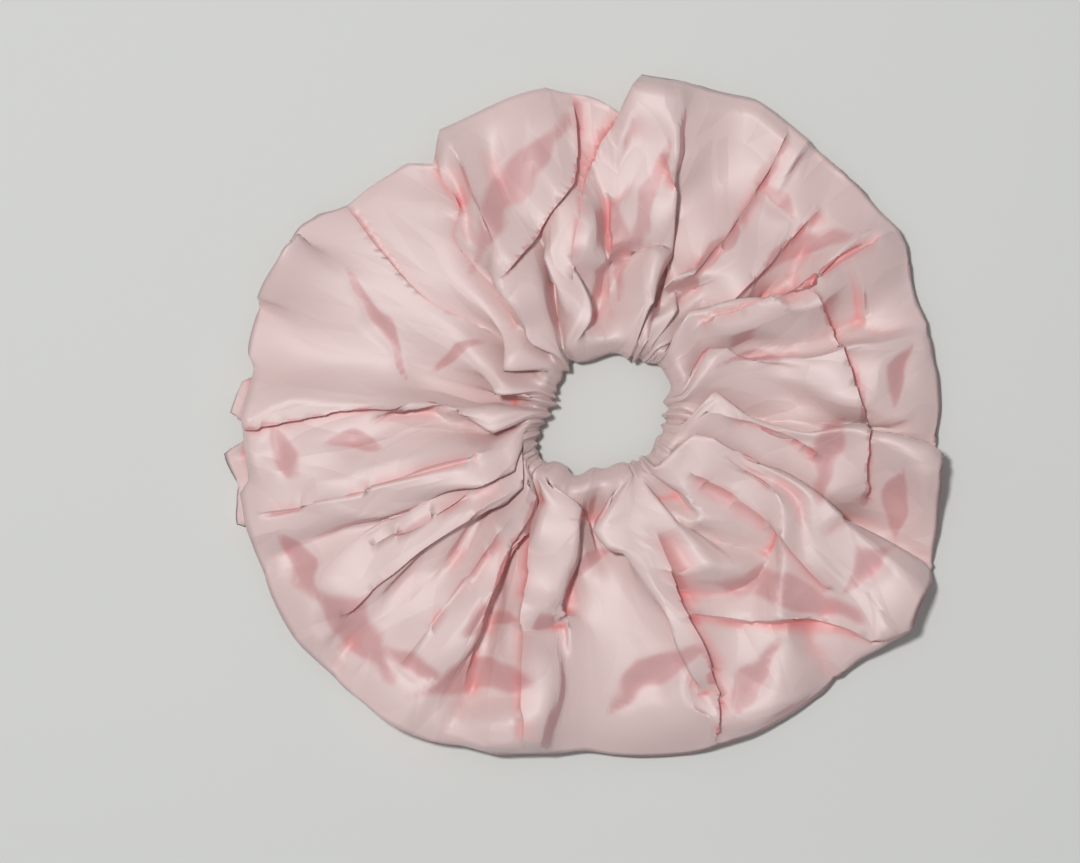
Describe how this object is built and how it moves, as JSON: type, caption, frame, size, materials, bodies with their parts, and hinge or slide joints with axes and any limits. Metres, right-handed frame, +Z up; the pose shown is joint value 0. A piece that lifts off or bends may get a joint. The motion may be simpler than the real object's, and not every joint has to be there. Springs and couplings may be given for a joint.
{
  "type": "scrunchie",
  "caption": "Oversized satin hair scrunchie: a wide fabric tube closed into a ring and gathered on a hidden loop of flat elastic, lying flat.",
  "frame": {"origin": "middle of the whole outline, at the level of the table it lies on", "axes": "+Z up through the opening; +X across the ring's longer width, which is also the way the loop opens; +Y across its shorter width"},
  "size_m": [0.1926, 0.18, 0.024],
  "materials": {
    "satin": "satin",
    "elastic": "matte knitted",
    "thread": "semi-matte"
  },
  "bodies": {
    "left": {"sleeve_sector_05": "satin", "sleeve_sector_06": "satin", "sleeve_sector_07": "satin", "sleeve_sector_08": "satin", "elastic_band": "elastic", "elastic_join_stitch_inner": "thread", "elastic_join_stitch_outer": "thread", "long_seam_allowance": "satin", "long_seam_stitching": "thread"},
    "mid_left": {"sleeve_sector_04": "satin", "sleeve_sector_09": "satin", "closing_seam_allowance": "satin", "closing_seam_stitching": "thread"},
    "mid_right": {"sleeve_sector_03": "satin", "sleeve_sector_10": "satin"},
    "right": {"sleeve_sector_01": "satin", "sleeve_sector_02": "satin", "sleeve_sector_11": "satin", "sleeve_sector_12": "satin"}
  },
  "joints": [
    {"name": "loop_stretch", "type": "slide", "parent": "left", "child": "right", "axis": [1, 0, 0], "range_m": [0, 0.05], "stiffness_N_per_m": 80, "deforming": ["elastic_band", "long_seam_allowance", "long_seam_stitching"]},
    {"name": "mid_left_stretch", "type": "slide", "parent": "left", "child": "mid_left", "axis": [1, 0, 0], "range_m": [0, 0.017]},
    {"name": "mid_right_stretch", "type": "slide", "parent": "left", "child": "mid_right", "axis": [1, 0, 0], "range_m": [0, 0.034]}
  ],
  "couplings": [
    {"joint": "mid_left_stretch", "follows": "loop_stretch", "ratio": 0.3333},
    {"joint": "mid_right_stretch", "follows": "loop_stretch", "ratio": 0.6667}
  ]
}
